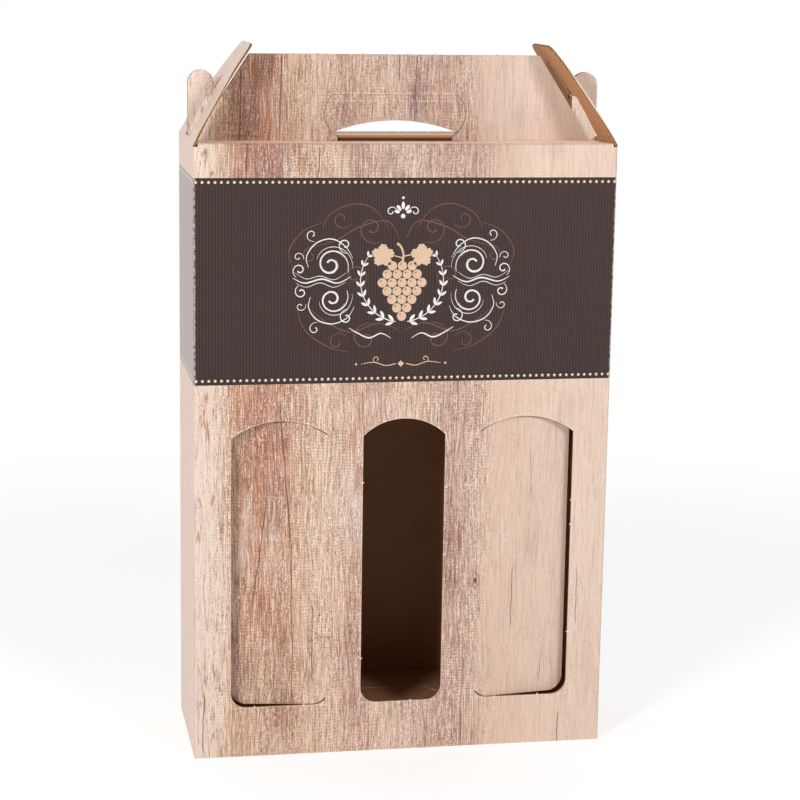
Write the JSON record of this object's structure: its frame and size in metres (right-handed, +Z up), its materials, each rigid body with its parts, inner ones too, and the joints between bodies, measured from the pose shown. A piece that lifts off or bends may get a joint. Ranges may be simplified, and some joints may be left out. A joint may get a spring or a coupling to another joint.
{
  "type": "folding bottle carrier carton",
  "caption": "Tall folded corrugated bottle carrier with arched windows, push-in window flaps, a gable handle with a hand hole, and side flaps locked over ears.",
  "frame": {"origin": "centre of the base, on the surface the carton stands on", "axes": "+X to the viewer's right along the width, front panel faces -Y, +Z up"},
  "size_m": [0.248, 0.095, 0.4203],
  "materials": {
    "printed_board": "matt print on fine-fluted kraft board"
  },
  "bodies": {
    "carton": {"carton": "printed_board"},
    "left_side_flap": {"left_side_flap": "printed_board"},
    "right_side_flap": {"right_side_flap": "printed_board"},
    "left_window_flap": {"left_window_flap": "printed_board"},
    "right_window_flap": {"right_window_flap": "printed_board"},
    "grip_flap": {"grip_flap": "printed_board"}
  },
  "joints": [
    {"name": "left_side_flap_fold", "type": "hinge", "parent": "carton", "child": "left_side_flap", "pos_m": [-0.1232, 0, 0.3642], "axis": [0, -1, 0], "range_deg": [0, 120]},
    {"name": "right_side_flap_fold", "type": "hinge", "parent": "carton", "child": "right_side_flap", "pos_m": [0.1232, 0, 0.3642], "axis": [0, 1, 0], "range_deg": [0, 120]},
    {"name": "left_window_flap_fold", "type": "hinge", "parent": "carton", "child": "left_window_flap", "pos_m": [-0.0446, -0.0467, 0.1], "axis": [0, 0, -1], "range_deg": [-8, 82]},
    {"name": "right_window_flap_fold", "type": "hinge", "parent": "carton", "child": "right_window_flap", "pos_m": [0.0446, -0.0467, 0.1], "axis": [0, 0, 1], "range_deg": [-8, 82]},
    {"name": "grip_flap_fold", "type": "hinge", "parent": "carton", "child": "grip_flap", "pos_m": [0, -0.001, 0.3894], "axis": [1, 0, 0], "range_deg": [0, 85]}
  ]
}
